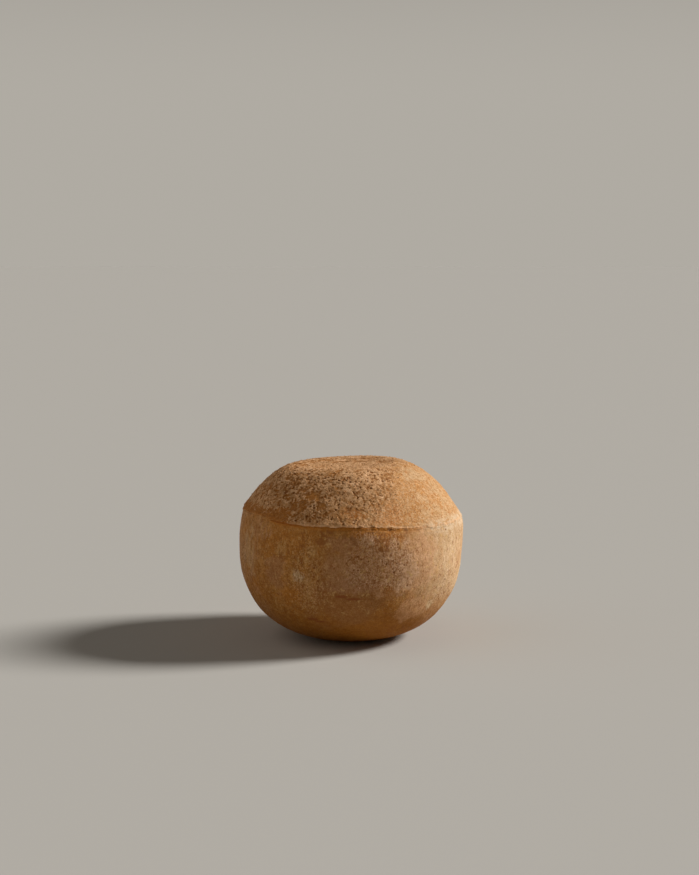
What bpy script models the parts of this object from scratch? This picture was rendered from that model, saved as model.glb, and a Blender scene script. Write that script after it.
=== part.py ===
"""A ball of hard cheese with a brushed rind, as it stands on its own pressed foot.

The ball was pressed in a round-bottomed mould. Its lower part, the bowl, took the mould's
shape. Its upper part, the cap, stood out of the mould under the lid, which left a flat
crown. A thin lip of cheese marks the seam between the two.

Metres, +Z up. The origin is the middle of the flat foot. -Y is the front, and the ball
leans a little: its seam falls and its crown rises towards +X.
"""

import math

import bmesh
import bpy

# Driving dimensions
DIAMETER = 0.190
FOOT_RADIUS = 0.028
BELLY_HEIGHT = 0.0891
SEAM_HEIGHT = 0.1069
CROWN_HEIGHT = 0.148

# The seam and the crown are circles that lie off the axis and aslant.
SEAM_RADIUS = 0.0927
SEAM_SHIFT = 0.0009
SEAM_SLOPE = -0.0389
SEAM_WAVE = 0.0008
SEAM_WAVES = 5
SEAM_WAVE_PEAK = math.radians(-81)
CROWN_RADIUS = 0.0417
CROWN_SHIFT = -0.0053
CROWN_SLOPE = 0.0416
CROWN_DISH = 0.0012
BELLY_RISE = 0.0055

# Exponents of the curved outlines, each at the -X side and at the +X side
BOWL_FULLNESS = (2.53, 2.66)
WALL_FULLNESS = (1.77, 5.0)
CAP_FULLNESS = (1.89, 2.16)

# The lip that the mould's rim left, and the groove under it
LIP_PROUD = 0.0006
LIP_RISE = 0.0012
GROOVE_DEPTH = 0.0005
LIP_WEAKEST = 0.35

# Slow swells of the rind: height, turns round the ball, turns up it, and where each starts
SWELLS = (
    (0.00044, 2, 0.7, 0.2),
    (0.00052, 3, 2.5, 2.2),
    (0.00067, 5, 3.0, 3.2),
)

# Number of facets round the ball, and of rings up each stretch of its outline
SEGMENTS = 96
BOWL_RINGS = 16
WALL_RINGS = 5
CAP_RINGS = 14
CROWN_RINGS = 5

RIND_COLOUR = (0.50, 0.30, 0.14, 1)
RIND_ROUGHNESS = 0.75


def across(sides, azimuth):
    """A value that goes from its -X side to its +X side as the azimuth turns."""
    left, right = sides
    return left + (right - left) * (1 + math.cos(azimuth)) / 2


def reach(azimuth, shift, radius):
    """How far from the axis a circle lies whose centre is shifted along X."""
    along = shift * math.cos(azimuth)
    return along + math.sqrt(radius**2 - shift**2 + along**2)


def belly(azimuth):
    """Radius and height of the widest ring."""
    return DIAMETER / 2, BELLY_HEIGHT + BELLY_RISE * math.cos(azimuth)


def seam(azimuth):
    """Radius and height of the seam, which slopes and waves."""
    radius = reach(azimuth, SEAM_SHIFT, SEAM_RADIUS)
    slope = SEAM_SLOPE * radius * math.cos(azimuth)
    wave = SEAM_WAVE * math.cos(SEAM_WAVES * (azimuth - SEAM_WAVE_PEAK))
    return radius, SEAM_HEIGHT + slope + wave


def crown(azimuth):
    """Radius and height of the crown's edge."""
    radius = reach(azimuth, CROWN_SHIFT, CROWN_RADIUS)
    return radius, CROWN_HEIGHT + CROWN_SLOPE * radius * math.cos(azimuth)


def lip_strength(azimuth):
    """The lip is plain at the front and nearly worn away at the back."""
    return LIP_WEAKEST + (1 - LIP_WEAKEST) * (1 - math.sin(azimuth)) / 2


def bowl_point(azimuth, part):
    """From the foot at 0 to the belly at 1, on a superellipse that the foot cuts off."""
    belly_radius, belly_height = belly(azimuth)
    fullness = across(BOWL_FULLNESS, azimuth)

    def depth(radius):
        return (1 - (radius / belly_radius) ** fullness) ** (1 / fullness)

    radius = FOOT_RADIUS + (belly_radius - FOOT_RADIUS) * math.sin(part * math.pi / 2)
    return radius, belly_height * (1 - depth(radius) / depth(FOOT_RADIUS))


def wall_point(azimuth, part):
    """From the belly at 0 to the groove at 1."""
    belly_radius, belly_height = belly(azimuth)
    seam_radius, seam_height = seam(azimuth)
    fullness = across(WALL_FULLNESS, azimuth)
    turn = max(math.cos(part * math.pi / 2), 0) ** (2 / fullness)
    radius = seam_radius + (belly_radius - seam_radius) * turn
    return radius, belly_height + (seam_height - LIP_RISE - belly_height) * part


def lip_point(azimuth, part):
    """The groove at 0, the lip's edge at 1 and its upper side at 2."""
    seam_radius, seam_height = seam(azimuth)
    out = (-GROOVE_DEPTH, LIP_PROUD, LIP_PROUD / 2)[part] * lip_strength(azimuth)
    return seam_radius + out, seam_height + (part - 1) * LIP_RISE / 2


def cap_point(azimuth, part):
    """From the lip at 0 to the crown's edge at 1."""
    seam_radius, seam_height = seam(azimuth)
    crown_radius, crown_height = crown(azimuth)
    rest = 1 - part
    rise = 1 - rest ** across(CAP_FULLNESS, azimuth)
    radius = crown_radius + (seam_radius - crown_radius) * rest
    return radius, seam_height + (crown_height - seam_height) * rise


def crown_point(azimuth, part):
    """From the crown's edge at 0 to its dished middle at 1."""
    edge_radius, edge_height = crown(azimuth)
    rest = 1 - part
    slope = (edge_height - CROWN_HEIGHT) * rest
    return edge_radius * rest, CROWN_HEIGHT + slope - CROWN_DISH * (1 - rest**2)


def outline():
    """Every ring of the ball, from the foot's edge to the innermost ring of the crown."""
    rings = [(bowl_point, i / BOWL_RINGS) for i in range(BOWL_RINGS)]
    rings += [(wall_point, i / WALL_RINGS) for i in range(WALL_RINGS)]
    rings += [(lip_point, i) for i in range(3)]
    rings += [(cap_point, (i + 1) / CAP_RINGS) for i in range(CAP_RINGS)]
    rings += [(crown_point, (i + 1) / CROWN_RINGS) for i in range(CROWN_RINGS - 1)]
    return rings


def swell(azimuth, radius, height):
    """How far the rind stands out of its plain outline, nothing at the foot and the axis."""
    fade = min(1, height / BELLY_HEIGHT) * min(1, radius / CROWN_RADIUS)
    turns_up = 2 * math.pi * height / CROWN_HEIGHT
    return fade * sum(
        size * math.sin(around * azimuth + up * turns_up + start)
        for size, around, up, start in SWELLS
    )


def turned_blank(rings):
    """A plain tube, with one ring of points for each ring of the ball."""
    blank = bmesh.new()
    points = [blank.verts.new((1, 0, level)) for level in range(len(rings))]
    line = [blank.edges.new(pair) for pair in zip(points, points[1:])]
    bmesh.ops.spin(
        blank,
        geom=points + line,
        cent=(0, 0, 0),
        axis=(0, 0, 1),
        angle=2 * math.pi,
        steps=SEGMENTS,
        use_merge=True,
    )
    return blank


def press(blank, rings):
    """Puts each point of the tube in its place on the ball."""
    for point in blank.verts:
        azimuth = math.atan2(point.co.y, point.co.x)
        place, part = rings[round(point.co.z)]
        radius, height = place(azimuth, part)
        radius += swell(azimuth, radius, height)
        point.co = (radius * math.cos(azimuth), radius * math.sin(azimuth), height)


def close_ends(ball):
    """Fills the foot and the crown, each with a fan of triangles about its middle."""
    open_edges = [edge for edge in ball.edges if edge.is_boundary]
    ends = bmesh.ops.holes_fill(ball, edges=open_edges, sides=SEGMENTS)["faces"]
    middles = bmesh.ops.poke(ball, faces=ends)["verts"]
    foot, top = sorted(middles, key=lambda point: point.co.z)
    foot.co = (0, 0, 0)
    top.co = (0, 0, CROWN_HEIGHT - CROWN_DISH)


def rind_material():
    material = bpy.data.materials.new("brushed_rind")
    material.use_nodes = True
    shader = material.node_tree.nodes["Principled BSDF"]
    shader.inputs["Base Color"].default_value = RIND_COLOUR
    shader.inputs["Roughness"].default_value = RIND_ROUGHNESS
    shader.inputs["Metallic"].default_value = 0
    return material


def make_cheese_ball():
    rings = outline()
    ball = turned_blank(rings)
    press(ball, rings)
    close_ends(ball)
    bmesh.ops.recalc_face_normals(ball, faces=ball.faces)
    mesh = bpy.data.meshes.new("cheese_ball")
    ball.to_mesh(mesh)
    ball.free()
    mesh.shade_smooth()
    mesh.materials.append(rind_material())
    bpy.context.collection.objects.link(bpy.data.objects.new("cheese_ball", mesh))


for leftover in list(bpy.data.objects):
    bpy.data.objects.remove(leftover)
make_cheese_ball()
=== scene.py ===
"""A ball of hard cheese with a natural rind, laid over its solid, on a pale floor."""

import math
import random

import bmesh
import bpy
import numpy as np
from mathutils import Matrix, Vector
from mathutils.bvhtree import BVHTree


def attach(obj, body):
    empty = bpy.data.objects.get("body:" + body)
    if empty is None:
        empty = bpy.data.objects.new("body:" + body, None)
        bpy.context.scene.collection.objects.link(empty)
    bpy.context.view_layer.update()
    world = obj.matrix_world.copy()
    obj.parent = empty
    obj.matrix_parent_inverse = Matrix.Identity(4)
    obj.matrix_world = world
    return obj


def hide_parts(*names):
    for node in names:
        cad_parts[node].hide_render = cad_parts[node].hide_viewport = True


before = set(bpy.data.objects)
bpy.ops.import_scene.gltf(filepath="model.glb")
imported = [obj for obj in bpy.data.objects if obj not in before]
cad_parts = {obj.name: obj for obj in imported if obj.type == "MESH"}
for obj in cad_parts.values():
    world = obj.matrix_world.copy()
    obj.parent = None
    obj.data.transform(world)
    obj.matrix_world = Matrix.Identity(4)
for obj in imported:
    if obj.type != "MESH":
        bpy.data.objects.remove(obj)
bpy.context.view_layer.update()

# ---------------------------------------------------------------------------------------
# The bowl: the lower part of the ball, which the mould shaped. Its thin rind was brushed
# every few weeks, so it is matt and mottled, with streaks from the brush, fine pores that
# mites left and a bloom of pale dust. Painted shade darkens its foot and its lower front.

MM = 0.001
SOLID = "cheese_ball"
SEAM_HEIGHT = 0.1069
SEAM_RADIUS = 0.0927
SEAM_SLOPE = -0.0389
SEAM_WAVE = 0.0008
SEAM_WAVES = 5
SEAM_WAVE_PEAK = math.radians(-81)
HEART = Vector((0, 0, SEAM_HEIGHT))

# How the solid is rounded off: what counts as one point, as a pair of facets, as an edge
SAME_POINT = 0.001 * MM
FACET_PAIR = math.radians(40)
SHARP_EDGE = math.radians(25)
ROUNDINGS = 2

# How the rind's triangles lie: their size, and their rows, which crowd at the lip
BOWL_GRAIN = 0.95 * MM
BOWL_POLE = -1
ROW_GAP = 0.87
LAST_GAP = 0.6
LIP_CROWDING = 0.5
LIP_REACH = 2 * MM
FEWEST_IN_RING = 6

# How far the lip wanders, and how far it has sunk where it is worn down
LIP_WANDER = 3.0 * MM
LIP_SUNK = 0.4 * MM

MATT_SHEEN = 0.12
BOWL_BUMP = 0.28 * MM


def rounded_solid():
    """The ball's solid with its facets rounded off and its sharp lip kept, to lay rind on."""
    body = bmesh.new()
    body.from_mesh(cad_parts[SOLID].data)
    bmesh.ops.remove_doubles(body, verts=body.verts, dist=SAME_POINT)
    bmesh.ops.join_triangles(
        body,
        faces=body.faces,
        angle_face_threshold=FACET_PAIR,
        angle_shape_threshold=FACET_PAIR,
    )
    crease = body.edges.layers.float.new("crease_edge")
    for edge in body.edges:
        edge[crease] = float(edge.calc_face_angle(0) > SHARP_EDGE)
    mesh = bpy.data.meshes.new("rounded")
    body.to_mesh(mesh)
    body.free()
    rounded = bpy.data.objects.new("rounded", mesh)
    bpy.context.collection.objects.link(rounded)
    rounded.modifiers.new("round", "SUBSURF").levels = ROUNDINGS
    surface = BVHTree.FromObject(rounded, bpy.context.evaluated_depsgraph_get())
    bpy.data.objects.remove(rounded)
    return surface


def seam_lean(azimuth):
    """The seam's angle above the level, as the ball's heart sees it."""
    rise = SEAM_SLOPE * SEAM_RADIUS * math.cos(azimuth)
    wave = SEAM_WAVE * math.cos(SEAM_WAVES * (azimuth - SEAM_WAVE_PEAK))
    return math.atan2(rise + wave, SEAM_RADIUS)


surface = rounded_solid()


def on_rind(azimuth, part, pole):
    """A point of the rind, from the seam at part 0 to the crown or the foot at part 1."""
    lean = seam_lean(azimuth)
    lean += (pole * math.pi / 2 - lean) * part
    level = math.cos(lean)
    toward = Vector((level * math.cos(azimuth), level * math.sin(azimuth), math.sin(lean)))
    return surface.ray_cast(HEART, toward)[0]


def outline_lengths(pole, azimuths=16, steps=400):
    """Parts of the way from the seam to the pole, with the mean length of rind to each and
    the mean radius there."""
    parts = np.linspace(0, 1, steps + 1)
    lengths = np.zeros(steps + 1)
    radii = np.zeros(steps + 1)
    for turn in range(azimuths):
        azimuth = 2 * math.pi * turn / azimuths
        points = np.array([on_rind(azimuth, part, pole) for part in parts])
        lengths[1:] += np.cumsum(np.linalg.norm(np.diff(points, axis=0), axis=1))
        radii += np.linalg.norm(points[:, :2], axis=1)
    return parts, lengths / azimuths, radii / azimuths


def ring_plan(pole, grain):
    """Part, length and number of points of each ring, close together at the lip."""
    parts, lengths, radii = outline_lengths(pole)
    plan, length = [], 0.0
    while length < lengths[-1] - LAST_GAP * grain:
        radius = np.interp(length, lengths, radii)
        count = max(FEWEST_IN_RING, round(2 * math.pi * radius / grain))
        plan.append((float(np.interp(length, lengths, parts)), length, count))
        near_lip = math.exp(-length / LIP_REACH)
        length += grain * (ROW_GAP - LIP_CROWDING * near_lip)
    return plan, lengths[-1]


def zipped(inner, outer):
    """Triangles between two rings of points, each a list of (turn, point) in order."""
    faces = []
    i = j = 0
    while i < len(inner) or j < len(outer):
        turn_in = inner[i + 1][0] if i + 1 < len(inner) else 1 + inner[0][0]
        turn_out = outer[j + 1][0] if j + 1 < len(outer) else 1 + outer[0][0]
        a = inner[i % len(inner)][1]
        b = outer[j % len(outer)][1]
        if j >= len(outer) or (i < len(inner) and turn_in < turn_out):
            faces.append((a, b, inner[(i + 1) % len(inner)][1]))
            i += 1
        else:
            faces.append((a, b, outer[(j + 1) % len(outer)][1]))
            j += 1
    return faces


def carry(mesh, name, values):
    """Gives the mesh a measure at each of its points: a place, or a number."""
    values = np.array(values, np.float32)
    kind, field = ("FLOAT_VECTOR", "vector") if values.ndim == 2 else ("FLOAT", "value")
    mesh.attributes.new(name, kind, "POINT").data.foreach_set(field, values.ravel())


def rind_shell(name, pole, grain):
    """One shell of rind from the seam to its pole, as even triangles, with two measures that
    its relief and its finish read: place, in millimetres, and far, the way from the seam."""
    plan, total = ring_plan(pole, grain)
    points, far, faces, before = [], [], [], []
    for number, (part, length, count) in enumerate(plan):
        ring = []
        for step in range(count):
            turn = (step + 0.5 * (number % 2)) / count
            ring.append((turn, len(points)))
            points.append(on_rind(2 * math.pi * turn, part, pole))
            far.append(length / MM)
        if before:
            faces += zipped(before, ring)
        before = ring
    points.append(on_rind(0, 1, pole))
    far.append(total / MM)
    last = len(points) - 1
    faces += [(a[1], b[1], last) for a, b in zip(before, before[1:] + before[:1])]
    if pole > 0:
        faces = [(a, b, c) for a, c, b in faces]
    mesh = bpy.data.meshes.new(name)
    mesh.from_pydata([tuple(point) for point in points], [], faces)
    place = np.array(points, np.float32) / MM
    carry(mesh, "place", place)
    carry(mesh, "far", far)
    round_map = mesh.uv_layers.new(name="OFBake")
    turns = np.arctan2(place[:, 1], place[:, 0])
    spread = 0.5 * (1 - np.array(far) * MM / total)
    flat = np.stack([0.5 + spread * np.cos(turns), 0.5 + spread * np.sin(turns)], axis=1)
    corners = np.zeros(len(mesh.loops), np.int32)
    mesh.loops.foreach_get("vertex_index", corners)
    round_map.data.foreach_set("uv", flat[corners].astype(np.float32).ravel())
    mesh.shade_smooth()
    shell = bpy.data.objects.new(name, mesh)
    bpy.context.collection.objects.link(shell)
    return shell


class Reading:
    """An output of a node, to reckon with: each operator adds the node that does the sum."""

    def __init__(self, tree, socket=None):
        self.tree = tree
        self.socket = socket

    def node(self, kind, settings=None, sockets=None, out=0):
        """Adds a node: its settings come first, then what its sockets hold or are fed by."""
        added = self.tree.nodes.new(kind)
        for name, value in (settings or {}).items():
            setattr(added, name, value)
        for key, value in (sockets or {}).items():
            if isinstance(value, Reading):
                self.tree.links.new(value.socket, added.inputs[key])
            else:
                added.inputs[key].default_value = value
        return Reading(self.tree, added.outputs[out] if len(added.outputs) else None)

    def sum(self, operation, first, second):
        return self.node("ShaderNodeMath", {"operation": operation}, {0: first, 1: second})

    def __add__(self, other):
        return self.sum("ADD", self, other)

    def __radd__(self, other):
        return self.sum("ADD", other, self)

    def __sub__(self, other):
        return self.sum("SUBTRACT", self, other)

    def __rsub__(self, other):
        return self.sum("SUBTRACT", other, self)

    def __mul__(self, other):
        return self.sum("MULTIPLY", self, other)

    def __rmul__(self, other):
        return self.sum("MULTIPLY", other, self)

    def __or__(self, other):
        """Where either of two masks is."""
        return self.sum("MAXIMUM", self, other)

    def vector(self, operation, other=None, scale=None, out=0):
        """Vector sums; scale is for the one that takes a number."""
        sockets = {0: self} if other is None else {0: self, 1: other}
        if scale is not None:
            sockets["Scale"] = scale
        return self.node("ShaderNodeVectorMath", {"operation": operation}, sockets, out)

    def rise(self, low, high):
        """0 at low, 1 at high and smooth between; low may be above high."""
        return self.node(
            "ShaderNodeMapRange",
            {"interpolation_type": "SMOOTHSTEP"},
            {"Value": self, "From Min": low, "From Max": high},
        )

    def axis(self, number):
        """One coordinate of a place: 0, 1 or 2."""
        return self.node("ShaderNodeSeparateXYZ", sockets={0: self}, out=number)

    def drawn_out(self, x, y, z):
        """A place squeezed along each axis, so that a pattern read there is drawn out."""
        return self.vector("MULTIPLY", (1 / x, 1 / y, 1 / z))

    def noise(self, size, detail=2.0, rough=0.5, warp=0.0, shift=0.0, out=0):
        """Soft patches about that many millimetres across, 0 to 1 about 0.5."""
        sockets = {
            "Vector": self.vector("ADD", (shift, -shift, shift)),
            "Scale": 1 / size,
            "Detail": detail,
            "Roughness": rough,
            "Distortion": warp,
        }
        return self.node("ShaderNodeTexNoise", sockets=sockets, out=out)

    def shaken(self, size, by):
        """A place pushed about by that many millimetres, which makes round shapes ragged."""
        push = self.noise(size, detail=2, shift=77, out=1)
        return push.vector("MULTIPLY", (2 * by, 2 * by, 2 * by)).vector("ADD", self)

    def dots(self, size, least, most, soft=0.12):
        """1 in round dots, one to a cell of that size, with radii in parts of the cell."""
        cell = self.node("ShaderNodeTexVoronoi", sockets={"Vector": self, "Scale": 1 / size})
        away = Reading(self.tree, cell.socket.node.outputs["Distance"])
        luck = Reading(self.tree, cell.socket.node.outputs["Color"]).axis(0)
        return (luck * (most - least) + least - away).rise(0.0, soft)

    def flecks(self, size, share, shift):
        """1 in ragged flecks that cover about that share of the rind, 0 between them."""
        over = self.noise(size, detail=4, rough=0.72, shift=shift) - 0.725 + share * 0.45
        return over.rise(-0.05, 0.07)

    def spot(self, centre, sizes, ragged=0.5):
        """1 within a ragged patch about a point, with its half sizes along each axis."""
        x, y, z = sizes if isinstance(sizes, tuple) else (sizes, sizes, sizes)
        mean = (x + y + z) / 3
        away = self.vector("SUBTRACT", centre).drawn_out(x, y, z).vector("LENGTH", out=1)
        wander = self.noise(mean * 0.6, detail=4) - 0.5
        return (away + wander * (3 * ragged)).rise(1.3, 0.7)

    def spots(self, *patches):
        """1 within any of several patches, each a centre, half sizes, how ragged, and how
        strong, where 1 is full strength."""
        any_of = None
        for centre, sizes, ragged, strength in patches:
            patch = self.spot(centre, sizes, ragged) * strength
            any_of = patch if any_of is None else any_of | patch
        return any_of

    def blend(self, first, second):
        """The first colour where this mask is 0, the second where it is 1."""
        sockets = {0: self, 6: first, 7: second}
        return self.node("ShaderNodeMix", {"data_type": "RGBA"}, sockets, out=2)


def stored(tree, name):
    """A measure that the mesh carries, read in a relief or in a finish."""
    start = Reading(tree)
    if tree.type == "GEOMETRY":
        kind = "FLOAT_VECTOR" if name == "place" else "FLOAT"
        settings = {"data_type": kind}
        return start.node("GeometryNodeInputNamedAttribute", settings, {"Name": name})
    out = "Vector" if name == "place" else "Fac"
    return start.node("ShaderNodeAttribute", {"attribute_name": name}, out=out)


def lip_front(place):
    """1 at the front, where the lip still stands proud, 0 where it is worn down."""
    return place.axis(1).rise(-58, -84) * (place.axis(0).rise(72, 30) * 0.7 + 0.3)


def lip_stray(tree):
    """How the lip strays from a true ring, the same for both shells: it wanders, and it has
    sunk back into the rind, most of all where it is worn down."""
    place = stored(tree, "place")
    near = stored(tree, "far").rise(4.0, 0.0)
    wander = place.noise(6, detail=1.6, shift=19, out=1).vector("SUBTRACT", (0.5, 0.5, 0.5))
    wander = wander.vector("SCALE", scale=near * LIP_WANDER)
    inward = place.vector("MULTIPLY", (-1, -1, 0)).vector("NORMALIZE")
    worn_down = 1.5 - lip_front(place) * (1 - place.axis(0).rise(-10, 40) * 0.5)
    sunk = worn_down * stored(tree, "far").rise(2.5, 0.0) * LIP_SUNK
    return wander.vector("ADD", inward.vector("SCALE", scale=sunk))


def raise_relief(shell, height_of, kept=None):
    """Moves the shell's points out along their normals by height_of(tree), in millimetres.
    Kept is a measure to store on them: its name, and what gives it."""
    tree = bpy.data.node_groups.new(shell.name + "_relief", "GeometryNodeTree")
    tree.interface.new_socket("Geometry", in_out="INPUT", socket_type="NodeSocketGeometry")
    tree.interface.new_socket("Geometry", in_out="OUTPUT", socket_type="NodeSocketGeometry")
    start = Reading(tree)
    raised = start.node("NodeGroupInput")
    if kept:
        name, field = kept
        raised = start.node(
            "GeometryNodeStoreNamedAttribute",
            {"data_type": "FLOAT", "domain": "POINT"},
            {"Geometry": raised, "Name": name, "Value": field(tree)},
        )
    outward = start.node("GeometryNodeInputNormal").vector("SCALE", scale=height_of(tree) * MM)
    offset = outward.vector("ADD", lip_stray(tree))
    sockets = {"Geometry": raised, "Offset": offset}
    raised = start.node("GeometryNodeSetPosition", sockets=sockets)
    start.node("NodeGroupOutput", sockets={0: raised})
    shell.modifiers.new("relief", "NODES").node_group = tree


def finish_with(piece, name, colour, roughness, bump, bump_depth):
    """Gives the piece a matt material from its colour, its roughness and a fine height."""
    material = bpy.data.materials.new(name)
    material.use_nodes = True
    tree = material.node_tree
    shader = tree.nodes["Principled BSDF"]
    sockets = {"Height": bump(tree), "Distance": bump_depth, "Strength": 1.0}
    normal = Reading(tree).node("ShaderNodeBump", sockets=sockets)
    tree.links.new(colour(tree).socket, shader.inputs["Base Color"])
    tree.links.new(roughness(tree).socket, shader.inputs["Roughness"])
    tree.links.new(normal.socket, shader.inputs["Normal"])
    shader.inputs["Specular IOR Level"].default_value = MATT_SHEEN
    piece.data.materials.append(material)


GOLD = (0.535, 0.252, 0.068, 1)
STRAW = (0.62, 0.370, 0.138, 1)
GOLD_DEEP = (0.36, 0.142, 0.026, 1)
ORANGE = (0.46, 0.165, 0.022, 1)
BLOOM = (0.52, 0.276, 0.134, 1)
POWDER = (0.66, 0.400, 0.232, 1)
BLUSH = (0.64, 0.350, 0.180, 1)
MAUVE = (0.41, 0.195, 0.088, 1)
FOOT_SHADE_GOLD = (0.31, 0.108, 0.010, 1)
SHADE_BROWN = (0.33, 0.140, 0.040, 1)
CREAM = (0.68, 0.462, 0.268, 1)
DUST = (0.66, 0.470, 0.270, 1)
ASH = (0.73, 0.545, 0.360, 1)
RUST = (0.30, 0.105, 0.024, 1)
SEAM_SHADE = (0.36, 0.105, 0.012, 1)
PORE_SHADE = (0.20, 0.063, 0.013, 1)
SCUFF = (0.26, 0.070, 0.018, 1)
GRAIN_TINT = (1.0, 1.35, 2.0)


def round_back(place):
    """1 on the sides and the back, 0 on the front, whose patches are laid one by one."""
    return place.vector("MULTIPLY", (1, 1, 0)).vector("NORMALIZE").axis(1).rise(-0.75, -0.45)


def porous(place):
    """Where mites have worked the rind: a large patch of the front and a few others."""
    front = place.spots(
        ((20, -92, 80), (26, 22, 26), 0.5, 1),
        ((-34, -82, 64), (16, 14, 30), 0.5, 0.7),
    )
    return front | place.noise(30, detail=3, shift=31).rise(0.52, 0.64) * round_back(place)


def bowl_pores(place):
    """Pinholes, thick where the rind is porous and rare elsewhere."""
    fine = place.shaken(1.5, 0.5).dots(2.9, -0.50, 0.40, 0.08) * porous(place)
    rare = place.shaken(1.5, 0.4).dots(6.5, -0.5, 0.14, 0.04)
    return fine | rare


def bowl_height(tree):
    """Dents, ripples, peel and pores, and the filling of the groove under the lip."""
    place = stored(tree, "place")
    far = stored(tree, "far")
    dents = place.noise(16, detail=2, shift=5) - 0.5
    ripples = place.noise(3.5, detail=3, shift=9) - 0.5
    peel = place.noise(1.9, detail=2, rough=0.6, shift=13) - 0.5
    height = dents * 0.9 + ripples * 0.35 + peel * 0.34 - bowl_pores(place) * 0.22
    foot = place.axis(2).rise(0.4, 5)
    groove = 0.68 - place.axis(1) * 0.0034
    groove = groove * (0.95 - lip_front(place) * (0.20 - place.axis(0).rise(-10, 30) * 0.22))
    groove = groove * (1 + place.axis(0).rise(20, 55) * 0.20)
    filled = far.rise(0.1, 0.7) * far.rise(2.6, 1.2) * groove
    return height * foot * far.rise(0, 2.5) + filled


def grained(colour, place, depth):
    """The same colour with the rind's fine grain: paler grains, and deeper gold between."""
    fine = place.noise(1.3, detail=4, rough=0.75, shift=95) - 0.5
    coarse = place.noise(3.6, detail=3, rough=0.6, shift=96) - 0.5
    grain = place.node(
        "ShaderNodeVectorMath",
        {"operation": "SCALE"},
        {0: GRAIN_TINT, "Scale": (fine + coarse * 0.5) * depth},
    )
    return colour.vector("MULTIPLY", grain.vector("ADD", (1, 1, 1)))


def streaked(place, far):
    """Pale streaks along the seam, at the right, where the mould's cloth lay."""
    streak = place.drawn_out(2, 2, 1).noise(2.5, detail=3, shift=88).rise(0.38, 0.56)
    return streak * far.rise(9, 1) * place.axis(0).rise(54, 70)


def bowl_ground(place, mottle, tall):
    """Gold over deep gold, with orange clouds, painted shade on the foot, and a creamier right
    side that is partly painted light.
    """
    clouds = place.noise(22, detail=5, rough=0.6, warp=0.5, shift=3)
    hue = place.noise(3.4, detail=4, rough=0.65, shift=25)
    colour = (clouds * 0.4 + mottle * 0.6).rise(0.40, 0.60).blend(GOLD_DEEP, GOLD)
    colour = (hue.rise(0.48, 0.62) * 0.6).blend(colour, ORANGE)
    orange = place.spots(
        ((-53, -78, 94), (24, 24, 15), 0.5, 0.6),
        ((-47, -77, 49), (8, 8, 7), 0.7, 1),
        ((28, -88, 99), (13, 9, 5), 0.7, 1),
        ((5, -95, 103), (6, 6, 4), 0.5, 1),
    )
    others = place.noise(26, detail=4, shift=170).rise(0.48, 0.60) * round_back(place)
    orange = orange | clouds.rise(0.58, 0.68) | others
    colour = (orange * 0.7).blend(colour, ORANGE)
    # Painted shade on the foot: darker towards the bottom, less so at the left.
    foot_shade = place.axis(2).rise(75, 10) * (place.axis(0).rise(-50, 0) * 0.45 + 0.5)
    colour = foot_shade.blend(colour, FOOT_SHADE_GOLD)
    # Creamier at the right: partly the rind's own bloom and partly painted light on the lit
    # side.
    cream = place.axis(0).rise(30, 84) * (tall * 0.4 + 0.6) * place.axis(2).rise(16, 55)
    return cream.blend(colour, CREAM)


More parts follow.
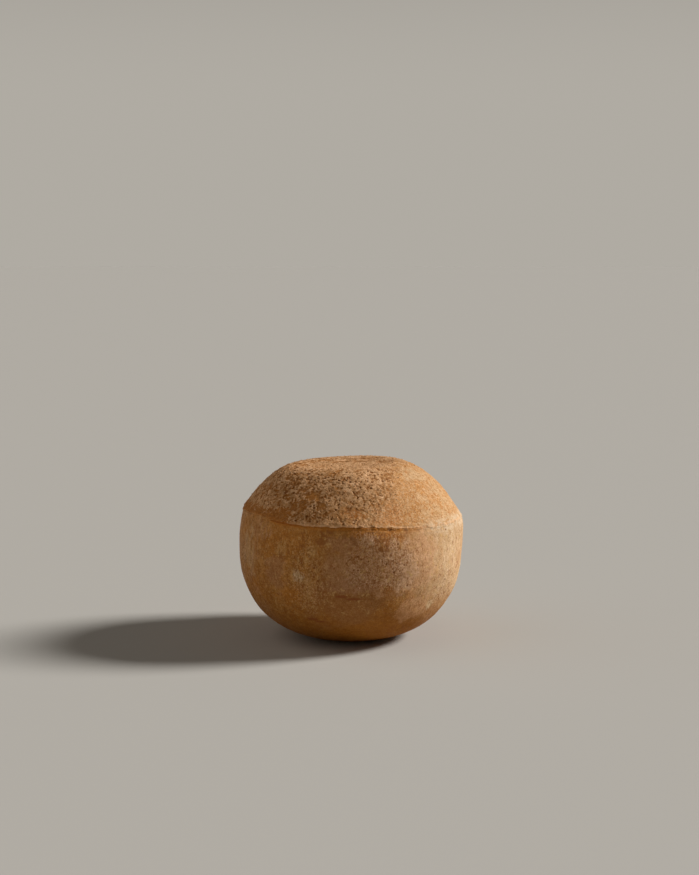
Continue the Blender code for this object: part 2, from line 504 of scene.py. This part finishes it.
def bowl_patches(colour, place, mottle, speckle, tall):
    """The patches that lie over the ground, from the blush at the right to spots of dust,
    with painted shade over the lower front, and powder that is partly painted light.
    """
    blush = place.spots(
        ((52, -76, 76), (19, 14, 26), 0.6, 1),
        ((50, -66, 38), (16, 16, 12), 0.6, 0.6),
    )
    colour = (blush * (mottle.rise(0.35, 0.60) * 0.3 + 0.5)).blend(colour, BLUSH)
    # Painted shade over the middle of the lower front.
    front_shade = place.spot((-4, -88, 56), (34, 30, 34), 0.6)
    colour = (front_shade * 0.8).blend(colour, SHADE_BROWN)
    bloom = place.spots(
        ((24, -91, 74), (26, 14, 20), 0.9, 0.9),
        ((-6, -93, 72), (18, 12, 13), 0.7, 0.7),
    )
    others = place.noise(30, detail=4, shift=50).rise(0.50, 0.66) * round_back(place)
    bloom = bloom | others * 0.8
    bloom = bloom * ((mottle * 0.5 + speckle * 0.5).rise(0.36, 0.58) * 0.7 + 0.3)
    colour = (bloom * 0.8).blend(colour, BLOOM)
    golden = place.spots(
        ((-56, -74, 84), (5, 5, 8), 0.9, 1),
        ((-35, -84, 56), (5, 5, 14), 0.9, 0.6),
        ((-31, -87, 88), (5, 5, 4), 0.8, 1),
    )
    colour = (golden * (speckle.rise(0.42, 0.58) * 0.6 + 0.15)).blend(colour, STRAW)
    mauve = place.spots(
        ((-4, -94, 94), (14, 8, 8), 0.8, 1),
        ((2, -93, 59), (22, 8, 6), 0.8, 1),
        ((-60, -70, 68), (10, 10, 14), 0.9, 0.8),
    )
    colour = (mauve * 0.65).blend(colour, MAUVE)
    # Pale powder, partly the rind's own and partly painted light where the lit side begins.
    powder_and_light = place.spots(
        ((42, -83, 71), (13, 9, 18), 0.8, 1),
        ((33, -90, 91), (5, 6, 7), 0.8, 1),
        ((31, -90, 84), (9, 8, 9), 0.8, 0.8),
        ((13, -95, 97), (5, 6, 5), 0.8, 1),
        ((2, -94, 69), (7, 6, 9), 0.7, 0.5),
    )
    colour = (powder_and_light * (speckle.rise(0.35, 0.60) * 0.5 + 0.35)).blend(colour, POWDER)
    streaks = place.drawn_out(1, 1, 11).noise(1.5, detail=3, rough=0.6, shift=7)
    brushed = place.noise(45, detail=2, shift=120).rise(0.52, 0.66) * round_back(place)
    brushed = brushed | place.axis(0).rise(-72, -90)
    brushed = brushed | place.spot((-72, -58, 100), (10, 12, 8), 0.8)
    colour = (brushed * streaks.rise(0.42, 0.62) * 0.6).blend(colour, BLOOM)
    greyed = place.spot((-84, -42, 78), (7, 12, 16), 0.9) * (tall * 0.25 + 0.12)
    colour = greyed.blend(colour, DUST)
    dusty = place.spots(
        ((-43, -84, 66), (4.5, 4.5, 5), 0.7, 1),
        ((64, -55, 37), (4, 4, 4.5), 0.8, 1),
    )
    others = place.noise(9, detail=3, shift=140).rise(0.64, 0.76) * round_back(place)
    dusty = dusty | others * 0.5
    return (dusty * (speckle.rise(0.35, 0.6) * 0.3 + 0.5)).blend(colour, DUST)


def bowl_specks(colour, place):
    """Dark and pale flecks, thickest where the rind is porous, its grain, and larger marks."""
    fibre = place.drawn_out(1, 1, 1.5)
    calm = place.axis(0).rise(38, 72) | place.axis(2).rise(40, 24)
    pitted = porous(place)
    dark = fibre.flecks(1.4, pitted * 0.12 + 0.34 - calm * 0.08, 61)
    colour = (dark * (pitted * 0.42 + 0.38 - calm * 0.24)).blend(colour, RUST)
    pale = fibre.flecks(1.0, pitted * 0.14 + 0.32 - calm * 0.06, 62)
    pale = pale * (pitted * 0.40 + 0.25 - calm * 0.21) * place.axis(2).rise(0, 40)
    fleck = (place.axis(0).rise(-25, 10) * 0.6 + 0.4).blend(STRAW, POWDER)
    colour = grained(pale.blend(colour, fleck), place, 1.2 + pitted * 0.5)
    marks = place.drawn_out(1, 1, 1.4).noise(2.8, detail=3, rough=0.65, shift=155)
    marked = 0.65 - place.axis(2).rise(40, 20) * 0.45
    paler = marks.rise(0.585, 0.66) * (marked - place.axis(2).rise(50, 20) * 0.20)
    colour = paler.blend(colour, STRAW)
    darker = (marks - pitted * 0.03).rise(0.415, 0.35) * marked
    return darker.blend(colour, RUST)


def bowl_stains(colour, place):
    """Ruddy stains, and the scuffs of the lower front."""
    ruddy = place.spots(
        ((26, -92, 93), (6, 7, 9), 0.8, 1),
        ((-58, -75, 82), (5, 5, 4), 0.8, 1),
        ((-22, -90, 99), (6, 5, 6), 0.8, 1),
        ((-37, -85, 98), (3, 5, 6), 0.8, 1),
    )
    ruddy = ruddy * place.noise(2.6, detail=3, shift=64).rise(0.46, 0.56)
    small = place.spots(
        ((-24, -91, 95), (4, 4, 3), 0.5, 1),
        ((-17, -92, 104), (3, 3, 2), 0.5, 1),
    )
    colour = ((ruddy | small) * 0.8).blend(colour, RUST)
    scuff = place.spots(
        ((-8, -93, 50.8), (5, 14, 1.2), 0.25, 1),
        ((3, -93, 48.6), (7, 14, 1.0), 0.25, 1),
        ((-31, -75, 29), (4, 6, 1.3), 0.6, 1),
        ((-25, -77, 27), (4, 6, 1.0), 0.6, 1),
    )
    return (scuff * 0.8).blend(colour, SCUFF)


def bowl_seam(colour, place, far):
    """Along the seam: pale streaks, an orange band under the lip that is partly stain and
    partly painted shade, and the painted shade of the groove.
    """
    colour = (streaked(place, far) * 0.75).blend(colour, ASH)
    under_lip = place.axis(0).rise(-70, -62) * place.axis(0).rise(66, 36)
    under_lip = under_lip * place.axis(1).rise(-10, -40)
    # The orange band under the lip: partly stain, partly painted shade beneath the lip.
    stain_and_shade = place.noise(7, detail=4, shift=44).rise(0.36, 0.56)
    stain_and_shade = stain_and_shade | place.axis(0).rise(12, 18) * place.axis(0).rise(32, 26)
    stain_and_shade = far.rise(5.0, 2.0) * stain_and_shade * under_lip
    colour = (stain_and_shade * 0.85).blend(colour, ORANGE)
    shade = far.rise(1.6, 0.5) * place.noise(9, detail=3, shift=45).rise(0.30, 0.55) * 0.6
    shade = (shade | far.rise(2.6, 1.2) * place.axis(0).rise(-38, -46)) * under_lip
    return (shade * (0.8 - place.axis(0).rise(-15, 25) * 0.65)).blend(colour, SEAM_SHADE)


def bowl_colour(tree):
    place = stored(tree, "place")
    mottle = place.noise(5.0, detail=4, rough=0.65, shift=8)
    speckle = place.noise(1.2, detail=4, rough=0.72, shift=12)
    tall = place.drawn_out(1, 1, 4).noise(6, detail=4, rough=0.6, shift=33).rise(0.30, 0.66)
    colour = bowl_ground(place, mottle, tall)
    colour = bowl_patches(colour, place, mottle, speckle, tall)
    colour = bowl_specks(colour, place)
    colour = bowl_stains(colour, place)
    colour = bowl_seam(colour, place, stored(tree, "far"))
    return (bowl_pores(place) * 0.9).blend(colour, PORE_SHADE)


def bowl_roughness(tree):
    place = stored(tree, "place")
    return 0.60 + 0.3 * place.noise(6, detail=4, shift=22)


def bowl_bump(tree):
    place = stored(tree, "place")
    dark = place.drawn_out(1, 1, 1.5).flecks(1.4, porous(place) * 0.16 + 0.34, 61)
    return place.noise(1.6, detail=5, rough=0.7, shift=17) - dark * 0.25


bowl = rind_shell("rind_bowl", BOWL_POLE, BOWL_GRAIN)
raise_relief(bowl, bowl_height)
finish_with(bowl, "bowl_rind", bowl_colour, bowl_roughness, bowl_bump, BOWL_BUMP)
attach(bowl, "root")
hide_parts(SOLID)

# ---------------------------------------------------------------------------------------
# The cap: the upper part, above the mould's edge. Two thirds of it wear a dry crust of
# clumps and pits, greyish where it is thick; the rest is bare skin, from orange to cream.

CAP_GRAIN = 0.66 * MM
CAP_POLE = 1
CAP_BUMP = 0.25 * MM

SKIN = (0.60, 0.325, 0.145, 1)
SKIN_ORANGE = (0.56, 0.240, 0.060, 1)
SKIN_CREAM = (0.59, 0.370, 0.185, 1)
SKIN_SHADED = (0.39, 0.138, 0.019, 1)
SKIN_PEACH = (0.63, 0.280, 0.098, 1)
SKIN_PINK = (0.68, 0.415, 0.215, 1)
SKIN_RUDDY = (0.42, 0.145, 0.026, 1)
CRUST = (0.49, 0.251, 0.100, 1)
CRUST_PALE = (0.75, 0.437, 0.226, 1)
CRUST_THIN = (0.46, 0.190, 0.046, 1)
CRUST_DIRT_AND_SHADE = (0.24, 0.080, 0.013, 1)
CRUST_WARM = (0.31, 0.108, 0.014, 1)


def crown_strips(place):
    """Bare, darker strips across the crown, a little sunken."""
    strips = place.spots(
        ((-9, 12, 148), (9, 3, 9), 0.5, 1),
        ((10, 8, 148), (7, 3.5, 9), 0.5, 1),
        ((16, 25, 148), (12, 4, 9), 0.55, 1),
        ((29, -3, 148), (6, 7, 9), 0.8, 1),
        ((-46, 4, 146), (3, 4, 9), 0.5, 1),
    )
    return strips * place.noise(2.4, detail=4, rough=0.65, shift=111).rise(0.40, 0.52)


def crust_cover(place, far):
    """How thick the crust lies, from 0 on bare skin to 1."""
    wander = place.noise(20, detail=3, shift=41) - 0.5
    reach = place.axis(0) - (place.axis(2) - 125) * 0.6 + wander * 38
    left_of = reach.rise(75, -7) * (0.9 + place.axis(0).rise(-40, 0) * 0.1)
    worn = place.spots(
        ((-30, -69, 129), (6, 5, 6), 0.8, 1),
        ((-54, -68, 115), (10, 6, 4), 0.8, 0.9),
        ((-40, -71, 121), (8, 6, 6), 0.9, 0.65),
        ((-23, -78, 121), 4, 0.8, 0.8),
        ((6, -85, 117), (11, 6, 4.5), 0.7, 0.7),
    )
    worn = worn | crown_strips(place)
    worn = worn | place.noise(12, detail=4, shift=200).rise(0.54, 0.70) * 0.6
    ragged = far + (place.noise(6, detail=4, shift=91) - 0.5) * 18
    band = ragged.rise(12, 2) * place.axis(0).rise(-44, -58)
    return left_of * (1 - worn * 0.75) * (1 - band * 0.75)


def crust_level(place, cover):
    """Above 0 on the pale crust, and below it in its ragged gaps of about a millimetre."""
    loose = place.shaken(2.2, 0.8)
    clumps = loose.noise(2.8, detail=5, rough=0.68, shift=55)
    grains = place.noise(1.25, detail=3, rough=0.7, shift=58)
    patches = place.noise(6, detail=2, shift=57) - 0.5
    return clumps * 0.9 + grains * 0.45 + patches * 0.3 - 0.895 + cover * 0.30


def crust_pits(place, cover):
    """Holes of a millimetre, deep and dark, that mites dug in the thick crust; their dark
    colour is partly painted shade.
    """
    many = place.shaken(1.5, 0.6).dots(2.9, -0.12, 0.45, 0.12) * cover.rise(0.5, 0.9)
    hollows = place.shaken(4, 2).drawn_out(1.4, 1.4, 1).dots(4.5, -0.25, 0.46, 0.15)
    hollows = hollows * place.axis(2).rise(137, 143) * cover.rise(0.5, 0.8)
    return many | hollows | place.spot((-53, -54, 130), 2.2, 0.2)


def cap_height(tree):
    """Clumps and pits where there is crust, and slow swells and a fine peel everywhere."""
    place = stored(tree, "place")
    far = stored(tree, "far")
    cover = crust_cover(place, far)
    level = crust_level(place, cover)
    lumps = place.noise(1.3, detail=2, shift=61)
    height = level.rise(-0.07, 0.08) * (lumps * 0.32 + 0.10) + level.rise(-0.16, 0.0) * 0.14
    height = height - crust_pits(place, cover) * 0.55
    swell = place.noise(9, detail=2, shift=67) - 0.5
    fine = place.noise(1.8, detail=2, rough=0.6, shift=88) - 0.5
    return (height + swell * 0.6 + fine * 0.30 - crown_strips(place) * 0.3) * far.rise(0, 2.0)


def skin_colour(place, shaded, ruddy):
    """The skin: orange and pink, cream at the right, and brown under the crust at the left,
    partly its own colour and partly painted shade of the side away from the light.
    """
    clouds = place.noise(12, detail=4, rough=0.6, warp=0.6, shift=3)
    colour = clouds.rise(0.58, 0.40).blend(SKIN, SKIN_ORANGE)
    hue = place.noise(4.5, detail=4, rough=0.65, shift=25)
    colour = (hue.rise(0.48, 0.60) * 0.85).blend(colour, SKIN_ORANGE)
    cream = place.axis(0).rise(30, 82) * (clouds.rise(0.56, 0.44) * 0.45 + 0.45)
    colour = cream.blend(colour, SKIN_CREAM)
    orange = place.spots(
        ((40, -62, 132), (9, 8, 6), 0.7, 0.75),
        ((59, -44, 134), (7, 8, 6), 0.7, 0.75),
        ((70, -40, 124), (5, 8, 4), 0.7, 0.75),
    )
    colour = (orange | clouds.rise(0.50, 0.60) * 0.5).blend(colour, SKIN_ORANGE)
    colour = (place.spot((50, -30, 142), (12, 14, 5), 0.8) * 0.5).blend(colour, DUST)
    peach = place.spot((30, -80, 115), (15, 12, 12), 0.7)
    mottle = place.noise(7, detail=4, rough=0.65, shift=180)
    colour = (mottle.rise(0.50, 0.60) * 0.45).blend(colour, SKIN_ORANGE)
    colour = (mottle.rise(0.50, 0.40) * (0.35 - peach * 0.3)).blend(colour, SKIN_PINK)
    colour = (peach * 0.8).blend(colour, SKIN_PEACH)
    # Browner at the left: partly the skin's own colour, partly painted shade.
    colour = (shaded * 0.85).blend(colour, SKIN_SHADED)
    bare = place.spots(
        ((-30, -70, 129), (5, 5, 6), 0.7, 1),
        ((-40, -76, 117), (5, 5, 3), 0.8, 0.6),
    )
    colour = (bare * 0.6).blend(colour, SKIN_ORANGE)
    colour = (ruddy * 0.85).blend(colour, SKIN_RUDDY)
    colour = (place.flecks(1.4, 0.42 - cream * 0.08, 61) * 0.60).blend(colour, RUST)
    pale = place.flecks(1.0, 0.42 - shaded * 0.15, 62) * (0.60 - shaded * 0.45)
    colour = pale.blend(colour, DUST)
    marks = place.noise(2.8, detail=3, rough=0.65, shift=155)
    colour = (marks.rise(0.56, 0.66) * (0.70 - shaded * 0.50)).blend(colour, SKIN_PINK)
    return (marks.rise(0.44, 0.34) * 0.70).blend(colour, SKIN_RUDDY)


def crust_colour(place, shaded, ruddy):
    """The crust: buff to pale, paler towards the crown, partly its own colour and partly
    painted light on the top, with a painted highlight at the crown's front-left edge, and
    browner where it is thin, most at the left, partly in painted shade.
    """
    tone = place.noise(2.2, detail=3, rough=0.6, shift=71) * 0.6
    tone = tone + place.noise(8, shift=73) * 0.4
    # A painted highlight on the clumps at the crown's front-left edge, where the light grazes.
    tone = tone + place.spot((-38, -30, 146), (9, 10, 6)) * 0.12
    # Paler towards the crown: partly the crust's own colour, partly painted light on the top.
    tone = tone + place.axis(2).rise(118, 146) * 0.05 - 0.03
    colour = tone.rise(0.39, 0.58).blend(CRUST, CRUST_PALE)
    thin = place.noise(4.5, detail=4, rough=0.65, shift=59).rise(0.52, 0.66)
    return ((thin | ruddy) * (shaded * 0.2 + 0.5)).blend(colour, CRUST_THIN)


def cap_colour(tree):
    place = stored(tree, "place")
    far = stored(tree, "far")
    cover = crust_cover(place, far)
    level = crust_level(place, cover)
    # The cap's left side, away from the light: browner, partly its own colour and partly
    # painted shade.
    shaded = place.axis(0).rise(20, -45)
    ruddy = place.spot((0, -86, 117), (12, 8, 6), 0.9)
    # Dark in the crust's gaps: partly dirt and partly painted shade in the hollows between
    # clumps, redder at the left.
    dirt_and_shade = level.rise(0.05, -0.06) * cover.rise(0.50, 0.95) * far.rise(1, 3) * 0.9
    dirt_and_shade_colour = place.axis(0).rise(-5, -45).blend(CRUST_DIRT_AND_SHADE, CRUST_WARM)
    colour = dirt_and_shade.blend(skin_colour(place, shaded, ruddy), dirt_and_shade_colour)
    colour = level.rise(-0.05, 0.06).blend(colour, crust_colour(place, shaded, ruddy))
    colour = grained(colour, place, 1.3)
    # Dark in the pits: partly dirt and partly painted shade inside the holes.
    colour = (crust_pits(place, cover) * far.rise(1, 3) * 0.9).blend(colour, CRUST_DIRT_AND_SHADE)
    colour = (crown_strips(place) * 0.75).blend(colour, RUST)
    colour = (streaked(place, far) * 0.75).blend(colour, ASH)
    # Pale along the lip's crest: partly pale crust and partly a painted highlight on the
    # crest.
    lip = far.rise(2.2, 1.0) * place.noise(7, detail=3, shift=46).rise(0.30, 0.50)
    return (lip * place.axis(0).rise(-55, -42) * 0.65).blend(colour, CRUST_PALE)


def cap_roughness(tree):
    place = stored(tree, "place")
    return 0.65 + 0.3 * place.noise(4, detail=4, shift=22)


def cap_bump(tree):
    place = stored(tree, "place")
    return place.noise(1.2, detail=5, rough=0.7, shift=17)


def crust_only(tree):
    """1 on the crust proper, which is where its crumbs lie."""
    place = stored(tree, "place")
    cover = crust_cover(place, stored(tree, "far"))
    return crust_level(place, cover).rise(-0.02, 0.06) * cover.rise(0.2, 0.4)


cap = rind_shell("rind_cap", CAP_POLE, CAP_GRAIN)
raise_relief(cap, cap_height, kept=("crust", crust_only))
finish_with(cap, "cap_rind", cap_colour, cap_roughness, cap_bump, CAP_BUMP)
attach(cap, "root")
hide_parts(SOLID)

# ---------------------------------------------------------------------------------------
# The crumbs: dry grains that have come loose from the crust and lie on it, each a ragged
# lump of about a millimetre.

CRUMBS = 1700
CRUMB_RADIUS = (0.22 * MM, 0.62 * MM)
CRUMB_SQUASH = (0.7, 1.3)
CRUMB_DENT = (0.75, 1.15)
CRUMB_LIFT = 0.1
CRUMB_BUMP = 0.1 * MM
THICK_CRUST = 0.85
LUCK_OF_CRUMBS = 7


def scatter_crumbs():
    """One mesh of all the crumbs, each sunk almost to its middle into the crust."""
    luck = random.Random(LUCK_OF_CRUMBS)
    dressed = cap.evaluated_get(bpy.context.evaluated_depsgraph_get()).data
    thickness = np.zeros(len(dressed.vertices), np.float32)
    dressed.attributes["crust"].data.foreach_get("value", thickness)
    crusted = np.flatnonzero(thickness > THICK_CRUST)
    grain = bmesh.new()
    bmesh.ops.create_icosphere(grain, subdivisions=1, radius=1)
    shape = np.array([point.co for point in grain.verts])
    sides = np.array([[point.index for point in face.verts] for face in grain.faces])
    grain.free()
    least, most = CRUMB_RADIUS
    points, faces = [], []
    for _ in range(CRUMBS):
        lies_on = dressed.vertices[int(crusted[luck.randrange(len(crusted))])]
        radius = least + (most - least) * luck.random() ** 2
        toward = Vector((luck.gauss(0, 1), luck.gauss(0, 1), luck.gauss(0, 1)))
        turn = np.array(toward.to_track_quat("Z", "Y").to_matrix())
        squash = np.array([luck.uniform(*CRUMB_SQUASH) for _ in range(3)])
        dent = np.array([luck.uniform(*CRUMB_DENT) for _ in shape])[:, None]
        lump = (shape * squash * dent) @ turn.T * radius
        middle = lies_on.co + lies_on.normal * radius * CRUMB_LIFT
        faces.append(sides + len(points) * len(shape))
        points.append(lump + np.array(middle))
    points = np.concatenate(points)
    mesh = bpy.data.meshes.new("crust_crumbs")
    mesh.from_pydata(points.tolist(), [], np.concatenate(faces).tolist())
    carry(mesh, "place", points / MM)
    mesh.shade_smooth()
    heap = bpy.data.objects.new("crust_crumbs", mesh)
    bpy.context.collection.objects.link(heap)
    return heap


def crumb_colour(tree):
    place = stored(tree, "place")
    tone = place.noise(2.5, detail=2, shift=71).rise(0.40, 0.62)
    return tone.blend(CRUST, CRUST_PALE)


def crumb_roughness(tree):
    return 0.75 + 0.2 * stored(tree, "place").noise(2, detail=2, shift=5)


def crumb_bump(tree):
    return stored(tree, "place").noise(0.4, detail=3, rough=0.7, shift=3)


crumbs = scatter_crumbs()
finish_with(crumbs, "crumb", crumb_colour, crumb_roughness, crumb_bump, CRUMB_BUMP)
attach(crumbs, "root")
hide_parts(SOLID)

# ---------------------------------------------------------------------------------------
# The studio: a wide, pale, matt floor and soft light, which aren't part of the ball. The
# air is pale at the floor and dark overhead, a window stands at the right, and a faint
# reflector at the left.

FLOOR_REACH = 25
FLOOR_PAINT = (0.53, 0.510, 0.475, 1)
FLOOR_ROUGHNESS = 0.9
FLOOR_SHEEN = 0.1
HORIZON = (0.433, 0.408, 0.365, 1)
ZENITH = (0.06, 0.056, 0.050, 1)
CAMERA_LENS = 70.6
CAMERA_PLACE = (-0.00136, -1.4438, 0.3311)
CAMERA_DROP = 6.4

floor_mesh = bpy.data.meshes.new("studio_floor")
ways = ((-1, -1), (1, -1), (1, 1), (-1, 1))
corners = [(x * FLOOR_REACH, y * FLOOR_REACH, 0) for x, y in ways]
floor_mesh.from_pydata(corners, [], [(0, 1, 2, 3)])
floor = bpy.data.objects.new("studio_floor", floor_mesh)
bpy.context.collection.objects.link(floor)
paint = bpy.data.materials.new("pale_floor")
paint.use_nodes = True
coat = paint.node_tree.nodes["Principled BSDF"]
coat.inputs["Base Color"].default_value = FLOOR_PAINT
coat.inputs["Roughness"].default_value = FLOOR_ROUGHNESS
coat.inputs["Specular IOR Level"].default_value = FLOOR_SHEEN
floor_mesh.materials.append(paint)

studio = bpy.data.worlds.new("studio")
studio.use_nodes = True
air = Reading(studio.node_tree)
sky = air.node("ShaderNodeTexCoord", out=0)
at_front = sky.axis(1).rise(0.1, -0.7) * sky.axis(2).rise(0.04, 0.09)
glow = (sky.axis(2).rise(0.08, 0.40) | at_front).blend(HORIZON, ZENITH)
backdrop = studio.node_tree.nodes["Background"]
studio.node_tree.links.new(glow.socket, backdrop.inputs["Color"])
bpy.context.scene.world = studio


def soft_light(name, toward, energy, width, colour):
    """A distant lamp that shines from a direction, as wide in the sky as its degrees."""
    lamp = bpy.data.lights.new(name, "SUN")
    lamp.energy = energy
    lamp.angle = math.radians(width)
    lamp.color = colour
    hung = bpy.data.objects.new(name, lamp)
    hung.rotation_euler = Vector(toward).to_track_quat("Z", "Y").to_euler()
    bpy.context.collection.objects.link(hung)


soft_light(
    "window", toward=(2.6, 0.45, 1.65), energy=3.9, width=16, colour=(1.0, 0.985, 0.96)
)
soft_light(
    "reflector", toward=(-2.2, -0.2, 1.6), energy=0.48, width=70, colour=(1.0, 0.93, 0.85)
)

camera_data = bpy.data.cameras.new("camera")
camera_data.sensor_width = 36
camera_data.lens = CAMERA_LENS
camera = bpy.data.objects.new("camera", camera_data)
camera.location = CAMERA_PLACE
camera.rotation_euler = (math.radians(90 - CAMERA_DROP), 0, 0)
bpy.context.collection.objects.link(camera)
bpy.context.scene.camera = camera
bpy.context.scene.view_settings.view_transform = "Standard"
